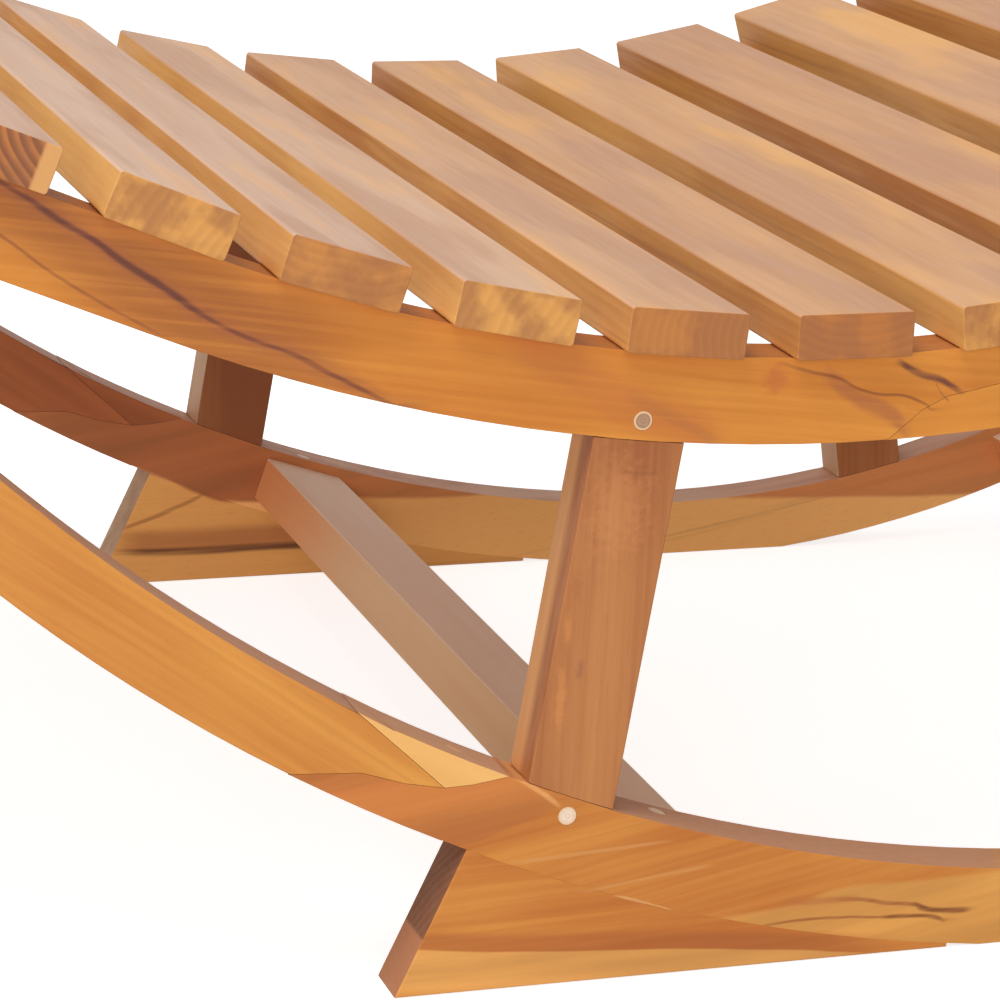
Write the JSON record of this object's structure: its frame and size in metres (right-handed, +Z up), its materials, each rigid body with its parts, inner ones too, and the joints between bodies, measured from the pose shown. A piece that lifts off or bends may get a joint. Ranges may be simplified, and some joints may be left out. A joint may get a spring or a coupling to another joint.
{
  "type": "rocking chaise lounge",
  "caption": "Slatted wooden rocking lounger: cross slats on two S-shaped side rails, carried by posts on two curved rockers with rear stop wedges.",
  "frame": {"origin": "on the floor, under the middle of the overall length and width", "axes": "+X along the length from the head end to the foot end, +Y to the left of someone lying on it, +Z up"},
  "size_m": [1.8034, 0.65, 0.5601],
  "materials": {
    "slat_teak": "sanded, oiled thin, satin",
    "rail_teak": "sanded, oiled thin, satin",
    "rocker_teak": "sanded, oiled thin, satin",
    "sapwood_teak": "sanded, oiled thin, satin",
    "post_teak": "sanded, oiled thin, satin",
    "pin_wood": "sanded end grain"
  },
  "bodies": {
    "root": {"slat_01": "slat_teak", "slat_02": "slat_teak", "slat_03": "slat_teak", "slat_04": "slat_teak", "slat_05": "slat_teak", "slat_06": "slat_teak", "slat_07": "slat_teak", "slat_08": "slat_teak", "slat_09": "slat_teak", "slat_10": "slat_teak", "slat_11": "slat_teak", "slat_12": "slat_teak", "slat_13": "slat_teak", "slat_14": "slat_teak", "slat_15": "slat_teak", "slat_16": "slat_teak", "slat_17": "slat_teak", "slat_18": "slat_teak", "slat_19": "slat_teak", "slat_20": "slat_teak", "slat_21": "slat_teak", "slat_22": "slat_teak", "slat_23": "slat_teak", "slat_24": "slat_teak", "left_head_rail": "rail_teak", "right_head_rail": "rail_teak", "left_seat_rail": "rail_teak", "right_seat_rail": "rail_teak", "left_foot_rail": "rail_teak", "right_foot_rail": "rail_teak", "left_rocker_head": "rocker_teak", "right_rocker_head": "rocker_teak", "left_rocker_key": "rocker_teak", "right_rocker_key": "sapwood_teak", "left_rocker_foot": "rocker_teak", "right_rocker_foot": "rocker_teak", "left_stop_wedge": "rocker_teak", "right_stop_wedge": "rocker_teak", "left_head_post": "post_teak", "right_head_post": "post_teak", "left_foot_post": "post_teak", "right_foot_post": "post_teak", "head_stretcher": "post_teak", "foot_stretcher": "post_teak", "left_head_post_top_pin": "pin_wood", "right_head_post_top_pin": "pin_wood", "left_head_post_bottom_pin": "pin_wood", "right_head_post_bottom_pin": "pin_wood", "left_foot_post_top_pin": "pin_wood", "right_foot_post_top_pin": "pin_wood", "left_foot_post_bottom_pin": "pin_wood", "right_foot_post_bottom_pin": "pin_wood", "left_head_end_dowel": "pin_wood", "right_head_end_dowel": "pin_wood", "left_foot_end_dowel": "pin_wood", "right_foot_end_dowel": "pin_wood", "left_head_stretcher_pin": "pin_wood", "right_head_stretcher_pin": "pin_wood", "left_foot_stretcher_pin": "pin_wood", "right_foot_stretcher_pin": "pin_wood"}
  },
  "joints": []
}
